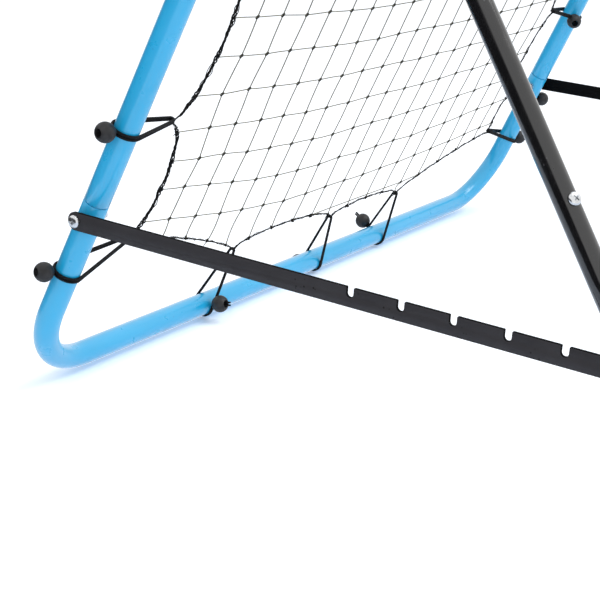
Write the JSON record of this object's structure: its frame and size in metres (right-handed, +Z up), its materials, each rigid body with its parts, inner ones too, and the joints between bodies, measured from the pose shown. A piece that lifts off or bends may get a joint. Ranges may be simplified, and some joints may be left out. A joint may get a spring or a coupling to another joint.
{
  "type": "pitch back rebounder",
  "caption": "Blue tubular frame with an elastic-tied net, leaning on a folding black leg frame held by notched bars; a thrown ball bounces back.",
  "frame": {"origin": "middle of the footprint on the floor, under the centre of the bounding box", "axes": "+X across the width, to the right of someone who stands behind the legs; +Y from the front frame towards the legs; +Z up"},
  "size_m": [1.0495, 0.7671, 0.9191],
  "materials": {
    "blue_paint": "glossy sky-blue paint on steel tube",
    "black_paint": "glossy black paint on the leg tubes, satin dark grey on the flat bars",
    "zinc": "bright zinc plating",
    "black_plastic": "moulded black plastic",
    "elastic_cord": "black covered elastic cord with a black plastic ball",
    "braided_cord": "black braided cord",
    "net_twine": "thin pale knotted twine"
  },
  "bodies": {
    "front_frame": {"front_lower_tube": "blue_paint", "front_side_tube_right": "blue_paint", "front_side_tube_left": "blue_paint", "front_top_tube": "blue_paint", "top_joint_bolt_right": "zinc", "top_joint_bolt_left": "zinc", "top_joint_nut_right": "zinc", "top_joint_nut_left": "zinc", "bar_pivot_bolt_right": "zinc", "bar_pivot_bolt_left": "zinc", "pivot_spacer_right": "black_plastic", "pivot_spacer_left": "black_plastic", "bar_pivot_nut_right": "zinc", "bar_pivot_nut_left": "zinc", "hinge_bolt_right": "zinc", "hinge_bolt_left": "zinc", "hinge_nut_right": "zinc", "hinge_nut_left": "zinc", "net_panel": "net_twine", "net_border_cord": "braided_cord", "tie_right_1": "elastic_cord", "tie_right_2": "elastic_cord", "tie_right_3": "elastic_cord", "tie_right_4": "elastic_cord", "tie_right_5": "elastic_cord", "tie_left_1": "elastic_cord", "tie_left_2": "elastic_cord", "tie_left_3": "elastic_cord", "tie_left_4": "elastic_cord", "tie_left_5": "elastic_cord", "tie_left_6": "elastic_cord", "tie_bottom_1": "elastic_cord", "tie_bottom_2": "elastic_cord", "tie_bottom_3": "elastic_cord", "tie_top_1": "elastic_cord", "tie_top_2": "elastic_cord", "tie_top_3": "elastic_cord"},
    "leg_frame": {"upper_leg_right": "black_paint", "upper_leg_left": "black_paint", "leg_end_cap_right": "black_plastic", "leg_end_cap_left": "black_plastic", "rear_lower_tube": "black_paint", "leg_screw_right": "zinc", "leg_screw_left": "zinc", "hook_bolt_right": "zinc", "hook_bolt_left": "zinc", "hook_nut_right": "zinc", "hook_nut_left": "zinc"},
    "bar_right": {"notched_bar_right": "black_paint"},
    "bar_left": {"notched_bar_left": "black_paint"}
  },
  "joints": [
    {"name": "leg_fold", "type": "hinge", "parent": "front_frame", "child": "leg_frame", "pos_m": [0, 0.0033, 0.6485], "axis": [-1, 0, 0], "range_deg": [0, 54]},
    {"name": "bar_right_swing", "type": "hinge", "parent": "front_frame", "child": "bar_right", "pos_m": [0.5092, -0.2598, 0.1948], "axis": [1, 0, 0], "range_deg": [-11, 54]},
    {"name": "bar_left_swing", "type": "hinge", "parent": "front_frame", "child": "bar_left", "pos_m": [-0.5092, -0.2598, 0.1948], "axis": [1, 0, 0], "range_deg": [-11, 54]}
  ]
}
